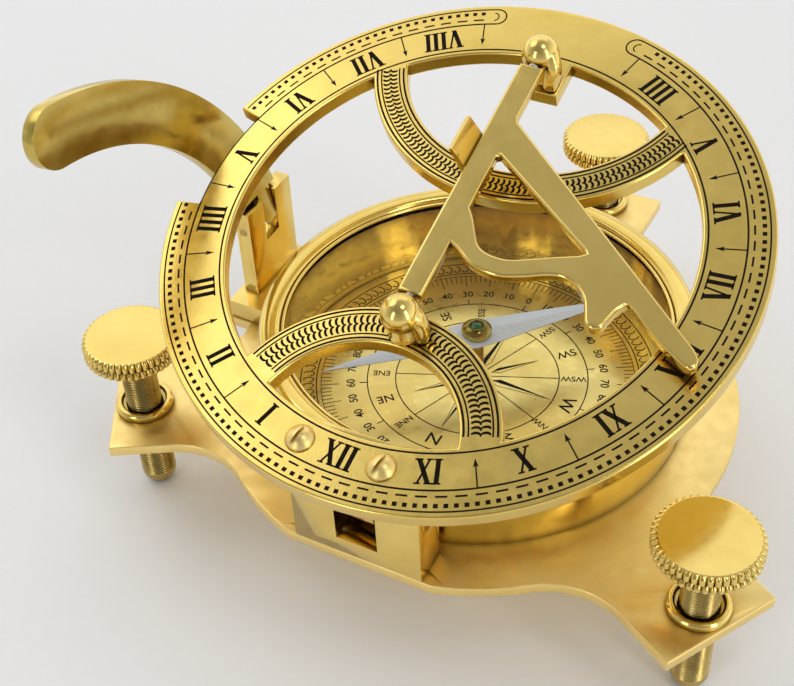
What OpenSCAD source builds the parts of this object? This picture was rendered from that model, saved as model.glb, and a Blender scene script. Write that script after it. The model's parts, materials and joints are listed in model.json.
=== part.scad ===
/* [Hour ring] */
// Outer radius of the hinged hour ring
ring_r = 58.2; // [57.6:0.1:58.4]
// Inner radius of the hour ring
ring_in_r = 45; // [44.6:0.1:45.4]
// Thickness of the hour ring and its fret arcs
ring_t = 3.4; // [3:0.1:3.6]
// Opening angle of the hour ring above level
ring_open = 17.6; // [16:0.1:19]

/* [Hinge] */
// Distance of the hinge pin in front of the dial centre
pin_y = 48.7; // [48.6:0.1:48.9]
// Height of the hinge pin above the standing surface
pin_z = 35; // [34.8:0.1:35.4]
// Height of the ring's top face above the hinge pin
ring_lift = 19.15; // [19:0.05:19.4]
// Diameter of the hinge pin
pin_d = 3; // [2.6:0.1:3.2]

/* [Base] */
// Underside of the base plate above the standing surface
plate_z = 19.8; // [19:0.1:20.5]
// Thickness of the base plate
plate_t = 2.4; // [2:0.1:3]
// Radius of the plate's round middle
plate_r = 54.5; // [54:0.1:55]
// Distance from the centre to the end of an ear
ear_r = 77; // [76:0.1:79]
// Width of an ear
ear_w = 25.4; // [24:0.1:27]
// Radius of the hollow curve between an ear and the middle
waist_r = 16; // [14:0.5:18]

/* [Levelling screws] */
// Distance from the centre to each levelling screw
screw_r = 70.5; // [70:0.1:71]
// Diameter of a levelling screw's shank
shank_d = 7.4; // [7:0.1:7.6]
// Diameter of a levelling knob
knob_d = 20; // [18:0.1:20.4]
// Height of the top of a knob above the standing surface
knob_top = 41.8; // [41:0.1:42.5]
// Thickness of a levelling knob
knob_t = 4.4; // [4:0.1:5]

/* [Compass case] */
// Outer radius of the case wall
case_r = 43.9; // [43.6:0.1:44]
// Height of the case's rim above the standing surface
rim_z = 42; // [41.8:0.1:42.1]
// Inner radius of the bezel
bezel_in_r = 40; // [39.5:0.1:40.2]
// Height of the card's face above the standing surface
card_z = 24.6; // [24.5:0.1:26]
// Half length of the compass needle
needle_r = 33; // [31:0.5:34]
// Height of the needle above the standing surface
needle_z = 36.4; // [36.2:0.1:36.6]

/* [Gnomon] */
// Height of the gnomon's pivot axis above the ring's top face
gnomon_h = 5.5; // [5.4:0.1:5.6]
// Thickness of the gnomon plate
gnomon_t = 2.4; // [2.2:0.1:2.6]
// Angle by which the folded gnomon dips below its axis
gnomon_dip = 2.5; // [2.3:0.1:2.7]

/* [Latitude arm] */
// Distance of the arm's plane from the centre
arm_x = 56.5; // [56.4:0.1:56.6]
// Height of the arm's pivot above the standing surface
arm_z = 43.5; // [43.4:0.1:43.6]
// Middle radius of the arm's arc about the hinge pin
arm_r = 58.6; // [58.4:0.1:58.8]
// Width of the arm
arm_w = 12; // [11.6:0.1:12.2]
// Thickness of the arm
arm_t = 2.6; // [2.4:0.1:2.6]
// Outward lean of the arm
arm_lean = 8.5; // [8:0.1:9]

/* [Hidden] */

$fn = 96;
eps = 0.01;
gold = [0.83, 0.66, 0.33];
pale_gold = [0.9, 0.75, 0.45];
dark_brass = [0.45, 0.33, 0.13];

plate_top = plate_z + plate_t;
ear_angles = [210, 330, 90];
front_flat = 52.3;                        // the plate is cut straight in front of the hinge block
overcut = 0.02;                           // makes touching curves cross a little
collar_d = 12;
collar_h = 1.7;
bore_gap = 0.05;                          // radial running clearance of every turning shaft

// Case heights, from the plate up
bezel_low = 30.4;
bezel_r = case_r + 0.5;
cup_r = 39.8;                             // inner wall of the cup
screw_land_r = 42.4;                      // the bezel screws over this much of the cup
seat_z = 39.2;                            // the glass rests here
glass_t = 1.2;
glass_r = 41.2;
card_t = 1;
card_r = 39.7;
post_r = 0.74;

// Screws that come up through the plate
case_screw_angles = [30, 150, 270];
case_screw_spot = 30;                     // distance of the case's screws from the centre
case_screw_r = 1.25;
case_screw_grip = 1.1;
block_screw_x = 9;
block_screw_r = 1.05;
foot_screw_y = 6;
foot_screw_r = 0.85;
screw_grip = 4.5;
screw_gap = 0.2;                          // radial clearance of their holes in the plate

// Hinge block and leaf
block_w = 27;
block_top = 41;
block_back = 44.6;
slot_w = 8.8;
slot_floor = 26;
knuckle_r = 3.6;
leaf_w = 8.2;
leaf_t = 2;
ring_screw_x = 8.1;
ring_screw_y = 49;
hinge_reach = 48.8;                       // from the hinge pin to the ring's centre, along the ring

// Fret arcs inside the ring
low_arc_y = -45.5;
low_arc = [19.4, 27];
high_arc_y = 45.9;
high_arc = [29.4, 36.4];
tab_w = 9.4;
tab_end = 36.6;
notch_r = 53.3;
notch_from = 80;
notch_to = 105;

// Gnomon lugs, along the ring's north-south line
upper_lug_y = 41.5;
lower_lug_y = -22.4;
ball_r = 3.7;
bar_w = 4.8;
bar_top = 37.4;
bar_low = -18.3;
pivot_r = 1;

// Bracket that holds the latitude arm
bracket_y = 9.7;
bracket_w = 17;
bracket_t = 3.4;
bracket_top = 48.5;
fork_w = 5;
fork_floor = 38;
arm_pin_r = 0.9;
shoulder = 6;

// Moves a shape from a level ring frame, centred on the ring, to the opened ring
module in_ring() {
    translate([0, -pin_y, pin_z])
        rotate([ring_open, 0, 0])
            translate([0, hinge_reach, ring_lift]) children();
}

// Moves a shape from the gnomon's own plane, with the pivot axis along Y, to the folded gnomon
module in_gnomon() {
    in_ring() translate([0, 0, gnomon_h]) rotate([0, gnomon_dip, 0]) children();
}

// Stands a shape up on its ear, with the ear's length along X
module at_ear(angle) {
    rotate([0, 0, angle]) translate([screw_r, 0, 0]) rotate([0, 0, -angle]) children();
}

// Tube along Z
module tube(r_out, r_in, h) {
    difference() {
        cylinder(r = r_out, h = h);
        translate([0, 0, -eps]) cylinder(r = r_in, h = h + 2 * eps);
    }
}

// One ear, filled out at its root as far as the hollow curves' centres
module ear_outline() {
    reach = sqrt(pow(plate_r + waist_r, 2) - pow(ear_w / 2 + waist_r, 2));
    touch = plate_r / (plate_r + waist_r);
    side = ear_w / 2 + waist_r;
    translate([0, -ear_w / 2]) square([ear_r, ear_w]);
    polygon([[0, 0], [reach * touch, -side * touch], [reach, -side],
             [reach, side], [reach * touch, side * touch]]);
}

// The two hollow curves that run from an ear's sides into the plate's round middle
module ear_hollows() {
    reach = sqrt(pow(plate_r + waist_r, 2) - pow(ear_w / 2 + waist_r, 2));
    for (side = [-1, 1]) translate([reach, side * (ear_w / 2 + waist_r)]) circle(r = waist_r + overcut);
}

module base_plate() {
    color(pale_gold) translate([0, 0, plate_z]) difference() {
        linear_extrude(plate_t) difference() {
            union() {
                difference() {
                    union() {
                        circle(r = plate_r);
                        for (a = ear_angles) rotate(a) ear_outline();
                    }
                    for (a = ear_angles) rotate(a) ear_hollows();
                }
                translate([-arm_x - bracket_t, bracket_y - bracket_w / 2 - 5])
                    square([20, bracket_w + 8]);
            }
            translate([-plate_r, -plate_r - front_flat]) square([2 * plate_r, plate_r]);
        }
        for (a = ear_angles) at_ear(a) plate_hole(collar_d / 2 - 1.6);
        for (a = case_screw_angles) rotate([0, 0, a]) translate([case_screw_spot, 0, 0])
            plate_hole(case_screw_r + screw_gap);
        for (x = [-block_screw_x, block_screw_x]) translate([x, -pin_y, 0])
            plate_hole(block_screw_r + screw_gap);
        for (y = [-foot_screw_y, foot_screw_y]) translate([-arm_x, bracket_y + y, 0])
            plate_hole(foot_screw_r + screw_gap);
    }
}

// Cutter for a hole through the plate
module plate_hole(r) {
    translate([0, 0, -eps]) cylinder(r = r, h = plate_t + 2 * eps);
}

// Threaded bushes pressed into the ears, with a raised collar above the plate
module screw_collars() {
    for (a = ear_angles) color(gold) at_ear(a) translate([0, 0, plate_z]) rotate_extrude()
        polygon([[shank_d / 2 + bore_gap, 0], [collar_d / 2 - 1.6, 0], [collar_d / 2 - 1.6, plate_t],
                 [collar_d / 2, plate_t], [collar_d / 2, plate_t + collar_h - 0.5],
                 [collar_d / 2 - 0.5, plate_t + collar_h], [shank_d / 2 + 1.1, plate_t + collar_h],
                 [shank_d / 2 + 0.8, plate_t + collar_h - 0.7],
                 [shank_d / 2 + bore_gap, plate_t + collar_h - 0.7]]);
}

// Levelling screw's shank, with a round foot and a spigot that the knob is fitted on
module shank() {
    r = shank_d / 2;
    foot_flat = 25;                       // angle at which the round foot starts
    round_z = r * cos(foot_flat);
    step_z = knob_top - knob_t - 1.2;
    foot = [for (a = [foot_flat : 13 : 90]) [r * sin(a), round_z - r * cos(a)]];
    color(dark_brass) rotate_extrude()
        polygon(concat([[0, 0]], foot, [[r, step_z], [r - 0.8, step_z],
                                        [r - 0.8, step_z + knob_t], [0, step_z + knob_t]]));
}

// Levelling knob, with a chamfered rim and a boss below
module knob() {
    r = knob_d / 2;
    low = knob_top - knob_t;
    color(gold) rotate_extrude()
        polygon([[shank_d / 2 - 0.75, low - 1.2], [shank_d / 2 + 1, low - 1.2], [shank_d / 2 + 1, low],
                 [r - 0.5, low], [r, low + 0.5], [r, knob_top - 0.5], [r - 0.5, knob_top], [0, knob_top],
                 [0, low - 1.2 + knob_t + bore_gap],
                 [shank_d / 2 - 0.75, low - 1.2 + knob_t + bore_gap]]);
}

module levelling_shank_left() { at_ear(ear_angles[0]) shank(); }
module levelling_shank_right() { at_ear(ear_angles[1]) shank(); }
module levelling_shank_rear() { at_ear(ear_angles[2]) shank(); }
module levelling_knob_left() { at_ear(ear_angles[0]) knob(); }
module levelling_knob_right() { at_ear(ear_angles[1]) knob(); }
module levelling_knob_rear() { at_ear(ear_angles[2]) knob(); }

// Turned cup that holds the compass
module case_body() {
    color(gold) difference() {
        rotate_extrude($fn = 160) polygon([
            [0, plate_top], [case_r, plate_top], [case_r, bezel_low], [screw_land_r, bezel_low],
            [screw_land_r, seat_z], [cup_r, seat_z], [cup_r, card_z - card_t], [0, card_z - card_t]]);
        for (a = case_screw_angles) rotate([0, 0, a]) translate([case_screw_spot, 0, plate_top - eps])
            cylinder(r = case_screw_r, h = case_screw_grip + eps);
    }
}

// Screw that comes up through the plate, with a slotted flat head under it
module plate_screw(head_r, head_t, shank_r, grip, turn) {
    color(dark_brass) translate([0, 0, plate_z]) difference() {
        union() {
            translate([0, 0, -head_t]) cylinder(r = head_r, h = head_t);
            translate([0, 0, -eps]) cylinder(r = shank_r, h = plate_t + grip + eps);
        }
        rotate([0, 0, turn]) translate([-head_r - 1, -head_r * 0.16, -head_t - 1])
            cube([2 * head_r + 2, head_r * 0.32, 1 + head_t / 2]);
    }
}

module case_screws() {
    for (a = case_screw_angles) rotate([0, 0, a]) translate([case_screw_spot, 0, 0])
        plate_screw(2.6, 1.4, case_screw_r, case_screw_grip, 2 * a);
}

// Bezel that screws down over the cup and holds the glass
module bezel_ring() {
    color(gold) rotate_extrude($fn = 160) polygon([
        [screw_land_r + 0.05, bezel_low + 0.1], [bezel_r, bezel_low + 0.1], [bezel_r, rim_z - 1],
        [bezel_r - 0.3, rim_z - 0.4], [bezel_r - 1, rim_z], [bezel_in_r + 1, rim_z],
        [bezel_in_r + 0.3, rim_z - 0.4], [bezel_in_r, rim_z - 1], [bezel_in_r, seat_z + glass_t + 0.02],
        [glass_r + 0.05, seat_z + glass_t + 0.02], [glass_r + 0.05, seat_z + 0.02],
        [screw_land_r + 0.05, seat_z + 0.02]]);
}

module compass_glass() {
    color([0.9, 0.95, 1, 0.25]) translate([0, 0, seat_z]) cylinder(r = glass_r, h = glass_t, $fn = 160);
}

// Wire ring sprung against the inside of the bezel, on the glass
module glass_retaining_ring() {
    color(gold) translate([0, 0, seat_z + glass_t + 0.4]) rotate_extrude($fn = 160)
        translate([bezel_in_r - 0.42, 0]) circle(r = 0.4, $fn = 20);
}

module compass_card() {
    color(pale_gold) translate([0, 0, card_z - card_t]) tube(card_r, 2.05, card_t, $fn = 160);
}

module pivot_post() {
    color(dark_brass) rotate_extrude() polygon([
        [0, card_z - card_t], [2, card_z - card_t], [2, card_z + 0.2], [1.4, card_z + 1],
        [1.4, needle_z - 3.4],
        [post_r, needle_z - 2], [post_r, needle_z + 0.9], [0, needle_z + 0.9]]);
}

// Long diamond needle
module compass_needle() {
    waist = 4.2;
    color([0.75, 0.8, 0.9]) rotate([0, 0, 45]) translate([0, 0, needle_z]) difference() {
        linear_extrude(0.6) polygon([[-needle_r, -0.5], [-1.5, -waist], [1.5, -waist], [needle_r, -0.5],
                                     [needle_r, 0.5], [1.5, waist], [-1.5, waist], [-needle_r, 0.5]]);
        translate([0, 0, -1]) cylinder(r = 2, h = 3);
    }
}

// Cap in the middle of the needle; its blind bore turns on the pivot post
module needle_cap() {
    color(gold) rotate_extrude() polygon([
        [post_r + bore_gap, needle_z - 1], [2, needle_z - 1], [2, needle_z + 0.6], [3.1, needle_z + 0.6],
        [3.1, needle_z + 1.6], [2.2, needle_z + 2.4], [1.5, needle_z + 2.6], [1.3, needle_z + 2.2],
        [0, needle_z + 2.2], [0, needle_z + 1], [post_r + bore_gap, needle_z + 1]]);
}

module needle_jewel() {
    color([0.05, 0.4, 0.12]) translate([0, 0, needle_z + 2.2]) intersection() {
        translate([0, 0, -1.4]) sphere(r = 1.9);
        cylinder(r = 1.25, h = 2);
    }
}

// Block with two cheeks that carry the ring's hinge pin
module hinge_block() {
    color(gold) difference() {
        translate([-block_w / 2, -front_flat, plate_top])
            cube([block_w, front_flat - block_back, block_top - plate_top]);
        translate([-slot_w / 2, -front_flat - 1, slot_floor]) cube([slot_w, 20, block_top]);
        translate([-block_w, -pin_y, pin_z]) rotate([0, 90, 0]) cylinder(r = pin_d / 2, h = 2 * block_w);
        for (x = [-block_screw_x, block_screw_x]) translate([x, -pin_y, plate_top - eps])
            cylinder(r = block_screw_r, h = screw_grip + 0.5);
    }
}

module hinge_block_screws() {
    for (x = [-block_screw_x, block_screw_x]) translate([x, -pin_y, 0])
        plate_screw(2.2, 1.2, block_screw_r, screw_grip, 4 * x);
}

module hinge_pin() {
    color(dark_brass) translate([-block_w / 2, -pin_y, pin_z]) rotate([0, 90, 0])
        cylinder(r = pin_d / 2, h = block_w);
}

// Forked upright on a foot, at the side of the case
module arm_bracket() {
    color(gold) difference() {
        union() {
            translate([-arm_x - bracket_t / 2, bracket_y - bracket_w / 2, plate_top])
                cube([bracket_t, bracket_w, bracket_top - plate_top]);
            translate([-arm_x - 3.2, bracket_y - bracket_w / 2 - 4.6, plate_top])
                cube([8.6, bracket_w + 6.6, 4.6]);
        }
        translate([-arm_x - 5, bracket_y - fork_w / 2, fork_floor]) cube([10, fork_w, bracket_top]);
        translate([-arm_x, bracket_y - bracket_w, arm_z]) rotate([-90, 0, 0])
            cylinder(r = arm_pin_r, h = 2 * bracket_w);
        for (y = [-foot_screw_y, foot_screw_y]) translate([-arm_x, bracket_y + y, plate_top - eps])
            cylinder(r = foot_screw_r, h = screw_grip + 0.5);
    }
}

module arm_bracket_screws() {
    for (y = [-foot_screw_y, foot_screw_y]) translate([-arm_x, bracket_y + y, 0])
        plate_screw(1.8, 1, foot_screw_r, screw_grip, 7 * y);
}

module arm_pin() {
    color(dark_brass) translate([-arm_x, bracket_y - bracket_w / 2, arm_z]) rotate([-90, 0, 0])
        cylinder(r = arm_pin_r, h = bracket_w);
}

// Outline of the latitude arm, x along the frame's Y and y along its Z: an arc about the hinge pin
// that ends in a tongue at the bracket
module arm_outline() {
    tip = 82;
    root = asin((arm_z + shoulder - pin_z) / arm_r);
    reach = 2 * arm_r;
    intersection() {
        translate([-pin_y, pin_z]) difference() {
            circle(r = arm_r + arm_w / 2, $fn = 200);
            circle(r = arm_r - arm_w / 2, $fn = 200);
        }
        translate([-pin_y, pin_z])
            polygon([[0, 0], [reach, (arm_z + shoulder - pin_z) / arm_r * reach - 9],
                     [reach, reach], [reach * cos(tip), reach * sin(tip)]]);
        translate([-pin_y, arm_z + shoulder]) square([2 * reach, reach]);
    }
    translate([-pin_y + arm_r * cos(tip), pin_z + arm_r * sin(tip)]) circle(r = arm_w / 2);
    tongue = fork_w - 0.5;
    translate([bracket_y - tongue / 2, arm_z]) square([tongue, shoulder + 3]);
    translate([bracket_y, arm_z]) circle(r = tongue / 2);
}

module latitude_arm() {
    color(gold) translate([-arm_x, 0, arm_z]) rotate([0, -arm_lean, 0]) difference() {
        translate([-arm_t / 2, 0, -arm_z]) rotate([90, 0, 90]) linear_extrude(arm_t) arm_outline();
        translate([0, bracket_y - fork_w, 0]) rotate([-90, 0, 0])
            cylinder(r = arm_pin_r + bore_gap, h = 2 * fork_w);
    }
}

// Leaf screwed under the ring, with a tongue down to the hinge pin
module ring_hinge_leaf() {
    color(gold) in_ring() difference() {
        union() {
            translate([-13, -hinge_reach - 6, -ring_t - leaf_t]) cube([26, 12, leaf_t]);
            translate([-leaf_w / 2, -hinge_reach - knuckle_r, -ring_lift])
                cube([leaf_w, 2 * knuckle_r, ring_lift - ring_t - leaf_t + eps]);
            translate([-leaf_w / 2, -hinge_reach, -ring_lift]) rotate([0, 90, 0])
                cylinder(r = knuckle_r, h = leaf_w);
        }
        translate([-leaf_w, -hinge_reach, -ring_lift]) rotate([0, 90, 0])
            cylinder(r = pin_d / 2 + bore_gap, h = 2 * leaf_w);
        for (x = [-1, 1]) translate([x * ring_screw_x, -ring_screw_y, -10]) cylinder(r = 1.2, h = 10);
    }
}

// Two slotted dome-head screws through the ring into the leaf
module ring_screws() {
    head_r = 2.7;
    for (x = [-ring_screw_x, ring_screw_x])
    color(pale_gold) in_ring() translate([x, -ring_screw_y, 0]) difference() {
        union() {
            intersection() {
                translate([0, 0, -1.6]) sphere(r = 3.3);
                cylinder(r = head_r, h = 3);
            }
            translate([0, 0, -ring_t - leaf_t + 0.2]) cylinder(r = 1.2, h = ring_t + leaf_t);
        }
        rotate([0, 0, 78]) translate([-4, -0.35, 0.9]) cube([8, 0.7, 2]);
    }
}

// Band of radius r_in to r_out about a point on the ring's north-south line, kept inside the ring
module fret_arc(y, radii) {
    intersection() {
        translate([0, y]) difference() {
            circle(r = radii[1], $fn = 160);
            circle(r = radii[0], $fn = 160);
        }
        circle(r = ring_in_r + 1, $fn = 160);
    }
}

// Sector of the band outside notch_r where the latitude arm passes
module arm_notch() {
    point = function (r, a) [-r * sin(a), -r * cos(a)];
    far = 2 * ring_r;
    difference() {
        polygon([point(notch_r - 2, notch_from), point(far, notch_from),
                 point(far, notch_to), point(notch_r - 2, notch_to)]);
        circle(r = notch_r, $fn = 200);
    }
}

module hour_ring() {
    color(gold) in_ring() difference() {
        translate([0, 0, -ring_t]) linear_extrude(ring_t) difference() {
            union() {
                difference() {
                    circle(r = ring_r, $fn = 200);
                    circle(r = ring_in_r, $fn = 200);
                }
                fret_arc(low_arc_y, low_arc);
                fret_arc(high_arc_y, high_arc);
                translate([-tab_w / 2, tab_end]) square([tab_w, ring_in_r - tab_end + 1]);
            }
            arm_notch();
        }
        for (x = [-1, 1]) translate([x * ring_screw_x, -ring_screw_y, -ring_t - 1])
            cylinder(r = 1.25, h = ring_t + 2);
        for (y = [upper_lug_y, lower_lug_y]) translate([0, y, -ring_t - 1])
            cylinder(r = 1.5, h = ring_t + 2);
    }
}

// Ball-topped lug riveted to the ring. Its ball is bored for the gnomon's pivot, which enters from
// the side given (-1 or 1).
module lug(y, side) {
    color(pale_gold) in_ring() translate([0, y, 0]) difference() {
        union() {
            translate([0, 0, gnomon_h]) sphere(r = ball_r, $fn = 48);
            cylinder(r1 = 3.2, r2 = 2.6, h = gnomon_h - 1);
            translate([0, 0, -ring_t]) cylinder(r = 1.5, h = ring_t + 1);
        }
        translate([0, 0, gnomon_h]) rotate([side * -90, 0, 0])
            cylinder(r = pivot_r + bore_gap, h = ball_r + 1);
    }
}

module upper_gnomon_lug() { lug(upper_lug_y, -1); }
module lower_gnomon_lug() { lug(lower_lug_y, 1); }

// Outline of the gnomon in its own plane: x away from the pivot bar, y along it
module gnomon_outline() {
    half = bar_w / 2;
    style = [[half, 24], [50.6, -11.6]];
    difference() {
        union() {
            translate([-half, bar_low]) square([bar_w, bar_top - bar_low]);
            // sloping leg that carries the shadow-casting edge
            polygon([style[0], style[1], [52.2, -13.6], [52, -15.2], [50.4, -15.6],
                     [45, -12.8], [36.6, -7], [26.5, 0.2], [half, 15.6]]);
            // wavy brace from the bar to the leg
            polygon([[half, 2.2], [4, 0.6], [5.6, -2], [7.4, -4.6], [9.8, -5.8], [13.4, -5.8],
                     [17, -4.3], [21, -2.4], [25.6, -0.6], [37, -7], [35.8, -8.6], [35, -11.2],
                     [34.4, -13.2], [32.8, -13.9], [31.4, -13.2], [30.4, -11], [29.2, -8.6],
                     [26.8, -6.6], [23.8, -5.9], [21, -6.6], [17.6, -8.2], [14, -9.5],
                     [11, -9.7], [7.4, -8.9], [4.4, -7], [half, -6.2]]);
        }
    }
}

module gnomon() {
    color(gold) in_gnomon() difference() {
        union() {
            translate([0, 0, -gnomon_t / 2]) linear_extrude(gnomon_t) gnomon_outline();
            // flange that comes to rest on the upper fret arc when the gnomon stands up
            translate([0, 19, 0]) rotate([90, 0, 0]) linear_extrude(8.4)
                polygon([[-bar_w / 2 + eps, -gnomon_t / 2], [-bar_w / 2 + eps, gnomon_t / 2],
                         [-4.4, 5.4], [-5.3, 5], [-3.4, -gnomon_t / 2]]);
        }
        for (end = [bar_top, bar_low]) translate([0, end, 0]) rotate([90, 0, 0])
            cylinder(r = pivot_r - 0.3, h = 8, center = true);
    }
}

// Steel pins in the ends of the bar, turning in the lugs
module gnomon_pivots() {
    for (end = [[bar_top, 1], [bar_low, -1]])
        color([0.7, 0.7, 0.7]) in_gnomon() translate([0, end[0], 0]) rotate([end[1] * -90, 0, 0]) {
            translate([0, 0, -4]) cylinder(r = pivot_r - 0.3, h = 4);
            cylinder(r = pivot_r, h = 3);
        }
}

base_plate();
screw_collars();
levelling_shank_left();
levelling_shank_right();
levelling_shank_rear();
levelling_knob_left();
levelling_knob_right();
levelling_knob_rear();
case_body();
case_screws();
bezel_ring();
compass_glass();
glass_retaining_ring();
compass_card();
pivot_post();
compass_needle();
needle_cap();
needle_jewel();
hinge_block();
hinge_block_screws();
hinge_pin();
arm_bracket();
arm_bracket_screws();
arm_pin();
latitude_arm();
ring_hinge_leaf();
ring_screws();
hour_ring();
upper_gnomon_lug();
lower_gnomon_lug();
gnomon();
gnomon_pivots();
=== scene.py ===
import json
import math

import bmesh
import bpy
from mathutils import Matrix, Vector
from mathutils.geometry import tessellate_polygon


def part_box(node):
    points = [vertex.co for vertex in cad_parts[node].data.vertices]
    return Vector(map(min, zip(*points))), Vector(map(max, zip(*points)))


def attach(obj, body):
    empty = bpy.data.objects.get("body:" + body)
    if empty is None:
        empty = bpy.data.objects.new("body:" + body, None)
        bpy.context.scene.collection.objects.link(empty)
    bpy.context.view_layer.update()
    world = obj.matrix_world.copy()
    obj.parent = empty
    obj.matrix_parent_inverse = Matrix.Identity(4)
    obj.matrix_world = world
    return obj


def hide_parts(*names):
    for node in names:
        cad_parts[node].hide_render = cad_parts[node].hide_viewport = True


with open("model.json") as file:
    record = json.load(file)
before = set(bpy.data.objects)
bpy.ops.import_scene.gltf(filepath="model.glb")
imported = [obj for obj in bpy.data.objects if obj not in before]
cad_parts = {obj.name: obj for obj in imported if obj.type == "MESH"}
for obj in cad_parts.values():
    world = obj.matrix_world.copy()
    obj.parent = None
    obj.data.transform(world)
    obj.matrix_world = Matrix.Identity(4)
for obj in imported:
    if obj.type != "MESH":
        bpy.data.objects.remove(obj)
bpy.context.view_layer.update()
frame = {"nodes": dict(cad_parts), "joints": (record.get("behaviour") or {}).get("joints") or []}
MM = 0.001
JOINTS = {j["name"]: j for j in frame["joints"]}

# Sizes in millimetres, as in the part's own source.
RING_OUT = 58.2
RING_IN = 45.0
RING_T = 3.4
GNOMON_H = 5.5
GNOMON_T = 2.4
GNOMON_DIP = 2.5
LOW_ARC_Y, LOW_ARC = -45.5, (19.4, 27.0)
HIGH_ARC_Y, HIGH_ARC = 45.9, (29.4, 36.4)
NOTCH_R, NOTCH_FROM, NOTCH_TO = 53.3, 80.0, 105.0
UPPER_LUG_Y, LOWER_LUG_Y = 41.5, -22.4
SHANK_R = 3.7
NECK_H = 4.4
THREAD_PITCH, THREAD_DEPTH = 0.7, 0.34
KNOB_R, KNOB_H = 10.0, 4.4
KNURLS, KNURL_DEPTH = 44, 0.62
LUG_BALL_R = 3.75

# Edges that turn by more than this, in degrees, stay crisp on the CAD nodes.
CRISP_EDGE = 38

# Lines and rows engraved on the hour ring, as radii about its centre.
LINE_OUT, LINE_MID, LINE_IN = 57.0, 53.04, 46.05
SQUARE_ROW, DASH_ROW = 55.9, 54.2
ROW_STEP = 1.82
BAND_END = 164.0
HOUR_STEP = 19.0
NUMERAL_FOOT, NUMERAL_H = 51.9, 4.9
ARROW_TIP = 47.4

# Rows on the compass card, as radii about its centre.
ROSE_IN, ROSE_OUT = 17.2, 23.2
DEGREE_ROW = 26.6
TICKS = (29.2, 33.0)
CARD_BORDER = (34.0, 37.4)

# The camera: where it stands in metres, the ways that are right and up in its picture, and its lens and
# film width in millimetres.
CAMERA_AT = (0.0967, -0.1990, 0.2346)
CAMERA_RIGHT = (0.88327, 0.4667, -0.04497)
CAMERA_UP = (-0.284, 0.60887, 0.74069)
CAMERA_LENS, CAMERA_FILM = 65.46, 36


# ---------------------------------------------------------------- frames

def ring_frame():
    """From the ring's own millimetres (x east, y from noon across, z up from its face) to the row frame."""
    joint = JOINTS["gnomon_fold"]
    along = -Vector(joint["axis"]).normalized()
    across = Vector((1, 0, 0))
    up = across.cross(along)
    centre = Vector(joint["pos_m"]) - up * GNOMON_H * MM
    columns = Matrix((across, along, up)).transposed().to_4x4()
    return Matrix.Translation(centre) @ columns @ Matrix.Scale(MM, 4)


ROW = Matrix.Scale(MM, 4)
RING = ring_frame()
GNOMON = (RING @ Matrix.Translation((0, 0, GNOMON_H))
          @ Matrix.Rotation(math.radians(GNOMON_DIP), 4, "Y"))


def box_mm(node):
    low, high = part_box(node)
    return low / MM, high / MM


def lifted(z):
    return ROW @ Matrix.Translation((0, 0, z))


# ---------------------------------------------------------------- materials

def node(tree, kind, values=None, **settings):
    made = tree.nodes.new(kind)
    for key, value in settings.items():
        setattr(made, key, value)
    for key, value in (values or {}).items():
        made.inputs[key].default_value = value
    return made


def noise(tree, vector, scale, detail=3.0, roughness=0.55):
    made = node(tree, "ShaderNodeTexNoise", {"Scale": scale, "Detail": detail, "Roughness": roughness})
    tree.links.new(vector, made.inputs["Vector"])
    return made.outputs["Fac"]


def mapped(tree, fac, low, high, start=0.3, end=0.7):
    made = node(tree, "ShaderNodeMapRange",
                {"From Min": start, "From Max": end, "To Min": low, "To Max": high})
    tree.links.new(fac, made.inputs["Value"])
    return made.outputs["Result"]


def blended(tree, fac, a, b):
    """Colour between a and b, each a colour or a socket."""
    made = node(tree, "ShaderNodeMix", data_type="RGBA")
    tree.links.new(fac, made.inputs["Factor"])
    for key, value in (("A", a), ("B", b)):
        socket = [s for s in made.inputs if s.name == key and s.type == "RGBA"][0]
        if isinstance(value, bpy.types.NodeSocket):
            tree.links.new(value, socket)
        else:
            socket.default_value = (*value, 1)
    return [s for s in made.outputs if s.type == "RGBA"][0]


def start_material(name):
    material = bpy.data.materials.new(name)
    material.use_nodes = True
    tree = material.node_tree
    shader = tree.nodes["Principled BSDF"]
    place = node(tree, "ShaderNodeTexCoord").outputs["Object"]
    return material, tree, shader, place


def brass(name, light, dark, rough, grain=(1, 1, 1), corner_shade=0.7, wear=0.04):
    """Polished brass: cloudy tone, smeared polish, fine scratches along grain, and painted shade that darkens
    its corners where ambient occlusion is high.
    """
    material, tree, shader, place = start_material(name)
    cloud = noise(tree, place, 90, 4)
    tone = blended(tree, mapped(tree, cloud, 0, 1), dark, light)
    # painted shade: ambient occlusion blends the base colour towards a dimmed dark tone in corners and
    # crevices
    corner = node(tree, "ShaderNodeAmbientOcclusion", {"Distance": 2.4 * MM}, samples=6)
    shaded = blended(tree, mapped(tree, corner.outputs["AO"], 0, 1, 0.3, 0.85),
                     [c * (1 - corner_shade) for c in dark], tone)
    tree.links.new(shaded, shader.inputs["Base Color"])
    shader.inputs["Metallic"].default_value = 1.0
    smear = noise(tree, place, 260, 5, 0.65)
    tree.links.new(mapped(tree, smear, rough * 0.75, rough * 1.35), shader.inputs["Roughness"])
    stretch = node(tree, "ShaderNodeMapping", {"Scale": [2600 * g for g in grain]})
    tree.links.new(place, stretch.inputs["Vector"])
    scratches = noise(tree, stretch.outputs["Vector"], 1, 2)
    dents = noise(tree, place, 340, 2)
    both = node(tree, "ShaderNodeMath", operation="MULTIPLY_ADD")
    both.inputs[1].default_value = 0.5
    tree.links.new(dents, both.inputs[0])
    tree.links.new(scratches, both.inputs[2])
    bump = node(tree, "ShaderNodeBump", {"Strength": wear * 3, "Distance": 0.05 * MM})
    tree.links.new(both.outputs[0], bump.inputs["Height"])
    tree.links.new(bump.outputs["Normal"], shader.inputs["Normal"])
    return material


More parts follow.
